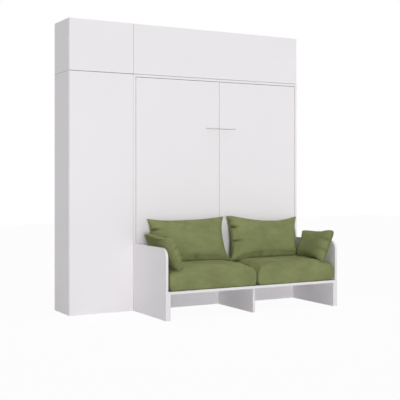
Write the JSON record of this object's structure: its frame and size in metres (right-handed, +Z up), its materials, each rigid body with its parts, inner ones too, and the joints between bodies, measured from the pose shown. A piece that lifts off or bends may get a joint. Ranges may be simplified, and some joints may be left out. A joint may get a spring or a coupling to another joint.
{
  "type": "murphy wall bed",
  "caption": "Double wall bed that folds into a white cabinet with a tall side column, top lockers and a cushioned bench sofa across its front.",
  "frame": {"origin": "on the floor, under the middle of the whole unit (cabinet and sofa together)", "axes": "+Z up, -Y out of the front towards the sofa, +X to the right when facing the front; the tall column is at -X and the wall is behind the +Y face"},
  "size_m": [2.36, 1.01, 2.55],
  "materials": {
    "white_board": "matt white melamine board",
    "back_board": "white thin fibreboard",
    "green_fabric": "woven velvet-like upholstery",
    "mattress_fabric": "quilted knitted mattress cover",
    "strap_fabric": "woven webbing",
    "frame_steel": "grey powder-coated steel",
    "bright_steel": "zinc-plated steel",
    "handle_metal": "satin anodised",
    "black_paint": "black painted gas spring tube",
    "rod_chrome": "hard-chromed rod",
    "plastic_grey": "moulded plastic",
    "plastic_white": "moulded plastic",
    "birch": "clear-lacquered laminated wood",
    "rubber_dark": "moulded rubber",
    "bush_brass": "plain turned"
  },
  "bodies": {
    "cabinet": {"bed_cabinet_side_left": "white_board", "bed_cabinet_side_right": "white_board", "bed_cabinet_top": "white_board", "bed_cabinet_lower_front": "white_board", "bed_cabinet_back_rails": "white_board", "bed_cabinet_back_stile": "white_board", "bed_cabinet_back_panels": "back_board", "column_side_left": "white_board", "column_side_right": "white_board", "column_boards": "white_board", "column_shelves": "white_board", "column_hanging_rail": "bright_steel", "small_top_sides": "white_board", "wide_top_sides": "white_board", "top_unit_boards": "white_board", "unit_back_panels": "back_board", "door_pivot_plates": "bright_steel", "flap_hinges": "bright_steel", "bed_pivot_plates": "bright_steel", "gas_anchor_plates": "bright_steel", "sofa_arm_left": "white_board", "sofa_arm_right": "white_board", "sofa_seat_panel": "white_board", "sofa_supports": "white_board", "sofa_seat_brackets": "bright_steel", "floor_glides": "plastic_white"},
    "bed": {"bed_front_left": "white_board", "bed_front_right": "white_board", "bed_side_rails": "frame_steel", "bed_end_rails": "frame_steel", "bed_centre_rail": "frame_steel", "bed_rail_caps": "plastic_grey", "bed_slats": "birch", "bed_slat_holders": "plastic_grey", "bed_front_brackets": "bright_steel", "bed_levers": "frame_steel", "bed_pivot_bushes": "bush_brass", "bed_handle": "handle_metal", "mattress": "mattress_fabric", "mattress_straps": "strap_fabric"},
    "foot_bar": {"foot_bar": "frame_steel", "foot_bar_pads": "rubber_dark"},
    "column_door": {"column_door": "white_board"},
    "small_top_door": {"small_top_door": "white_board"},
    "wide_flap": {"wide_flap": "white_board", "flap_stay_brackets": "bright_steel"},
    "strut_cylinder_left": {"strut_cylinder_left": "black_paint"},
    "strut_rod_left": {"strut_rod_left": "rod_chrome"},
    "stay_cylinder_left": {"stay_cylinder_left": "black_paint"},
    "stay_rod_left": {"stay_rod_left": "rod_chrome"},
    "strut_cylinder_right": {"strut_cylinder_right": "black_paint"},
    "strut_rod_right": {"strut_rod_right": "rod_chrome"},
    "stay_cylinder_right": {"stay_cylinder_right": "black_paint"},
    "stay_rod_right": {"stay_rod_right": "rod_chrome"},
    "seat_cushion_left": {"seat_cushion_left": "green_fabric"},
    "seat_cushion_right": {"seat_cushion_right": "green_fabric"},
    "back_cushion_left": {"back_cushion_left": "green_fabric"},
    "back_cushion_right": {"back_cushion_right": "green_fabric"},
    "throw_pillow_left": {"throw_pillow_left": "green_fabric"},
    "throw_pillow_right": {"throw_pillow_right": "green_fabric"}
  },
  "joints": [
    {"name": "bed_fold", "type": "hinge", "parent": "cabinet", "child": "bed", "pos_m": [0.3, 0.185, 0.31], "axis": [1, 0, 0], "range_deg": [0, 90]},
    {"name": "foot_bar_turn", "type": "hinge", "parent": "bed", "child": "foot_bar", "pos_m": [0.3, 0.193, 2.046], "axis": [1, 0, 0], "range_deg": [0, 210.7]},
    {"name": "column_door_swing", "type": "hinge", "parent": "cabinet", "child": "column_door", "pos_m": [-1.1705, 0.143, 0], "axis": [0, 0, -1], "range_deg": [0, 100]},
    {"name": "small_top_door_swing", "type": "hinge", "parent": "cabinet", "child": "small_top_door", "pos_m": [-1.1705, 0.143, 2.1], "axis": [0, 0, -1], "range_deg": [0, 100]},
    {"name": "wide_flap_lift", "type": "hinge", "parent": "cabinet", "child": "wide_flap", "pos_m": [0.3, 0.143, 2.54], "axis": [-1, 0, 0], "range_deg": [0, 90]},
    {"name": "strut_tilt_left", "type": "hinge", "parent": "cabinet", "child": "strut_cylinder_left", "pos_m": [-0.5415, 0.435, 0.92], "axis": [1, 0, 0], "range_deg": [0, 2.3]},
    {"name": "strut_stroke_left", "type": "slide", "parent": "strut_cylinder_left", "child": "strut_rod_left", "axis": [0, 0.2642, 0.9645], "range_m": [0, 0.1825]},
    {"name": "stay_tilt_left", "type": "hinge", "parent": "cabinet", "child": "stay_cylinder_left", "pos_m": [-0.544, 0.435, 2.45], "axis": [-1, 0, 0], "range_deg": [0, 6.55]},
    {"name": "stay_stroke_left", "type": "slide", "parent": "stay_cylinder_left", "child": "stay_rod_left", "axis": [0, -0.9993, 0.0386], "range_m": [0, 0.1176]},
    {"name": "strut_tilt_right", "type": "hinge", "parent": "cabinet", "child": "strut_cylinder_right", "pos_m": [1.1415, 0.435, 0.92], "axis": [1, 0, 0], "range_deg": [0, 2.3]},
    {"name": "strut_stroke_right", "type": "slide", "parent": "strut_cylinder_right", "child": "strut_rod_right", "axis": [0, 0.2642, 0.9645], "range_m": [0, 0.1825]},
    {"name": "stay_tilt_right", "type": "hinge", "parent": "cabinet", "child": "stay_cylinder_right", "pos_m": [1.144, 0.435, 2.45], "axis": [-1, 0, 0], "range_deg": [0, 6.55]},
    {"name": "stay_stroke_right", "type": "slide", "parent": "stay_cylinder_right", "child": "stay_rod_right", "axis": [0, -0.9993, 0.0386], "range_m": [0, 0.1176]},
    {"name": "seat_cushion_left_away", "type": "slide", "parent": "cabinet", "child": "seat_cushion_left", "axis": [0, -1, 0], "range_m": [0, 2.75]},
    {"name": "seat_cushion_right_away", "type": "slide", "parent": "cabinet", "child": "seat_cushion_right", "axis": [0, -1, 0], "range_m": [0, 2.75]},
    {"name": "back_cushion_left_away", "type": "slide", "parent": "cabinet", "child": "back_cushion_left", "axis": [0, -1, 0], "range_m": [0, 2.75]},
    {"name": "back_cushion_right_away", "type": "slide", "parent": "cabinet", "child": "back_cushion_right", "axis": [0, -1, 0], "range_m": [0, 2.75]},
    {"name": "throw_pillow_left_away", "type": "slide", "parent": "cabinet", "child": "throw_pillow_left", "axis": [0, -1, 0], "range_m": [0, 2.75]},
    {"name": "throw_pillow_right_away", "type": "slide", "parent": "cabinet", "child": "throw_pillow_right", "axis": [0, -1, 0], "range_m": [0, 2.75]}
  ],
  "couplings": [
    {"joint": "foot_bar_turn", "follows": "bed_fold", "ratio": 2.3406},
    {"joint": "strut_tilt_left", "follows": "bed_fold", "ratio": 0.025024},
    {"joint": "strut_stroke_left", "follows": "bed_fold", "m_per_rad": 0.11587},
    {"joint": "stay_tilt_left", "follows": "wide_flap_lift", "ratio": 0.072226},
    {"joint": "stay_stroke_left", "follows": "wide_flap_lift", "m_per_rad": 0.074579},
    {"joint": "strut_tilt_right", "follows": "bed_fold", "ratio": 0.025024},
    {"joint": "strut_stroke_right", "follows": "bed_fold", "m_per_rad": 0.11587},
    {"joint": "stay_tilt_right", "follows": "wide_flap_lift", "ratio": 0.072226},
    {"joint": "stay_stroke_right", "follows": "wide_flap_lift", "m_per_rad": 0.074579},
    {"joint": "seat_cushion_left_away", "follows": "bed_fold", "m_per_rad": 1.75},
    {"joint": "seat_cushion_right_away", "follows": "bed_fold", "m_per_rad": 1.75},
    {"joint": "back_cushion_left_away", "follows": "bed_fold", "m_per_rad": 1.75},
    {"joint": "back_cushion_right_away", "follows": "bed_fold", "m_per_rad": 1.75},
    {"joint": "throw_pillow_left_away", "follows": "bed_fold", "m_per_rad": 1.75},
    {"joint": "throw_pillow_right_away", "follows": "bed_fold", "m_per_rad": 1.75}
  ]
}
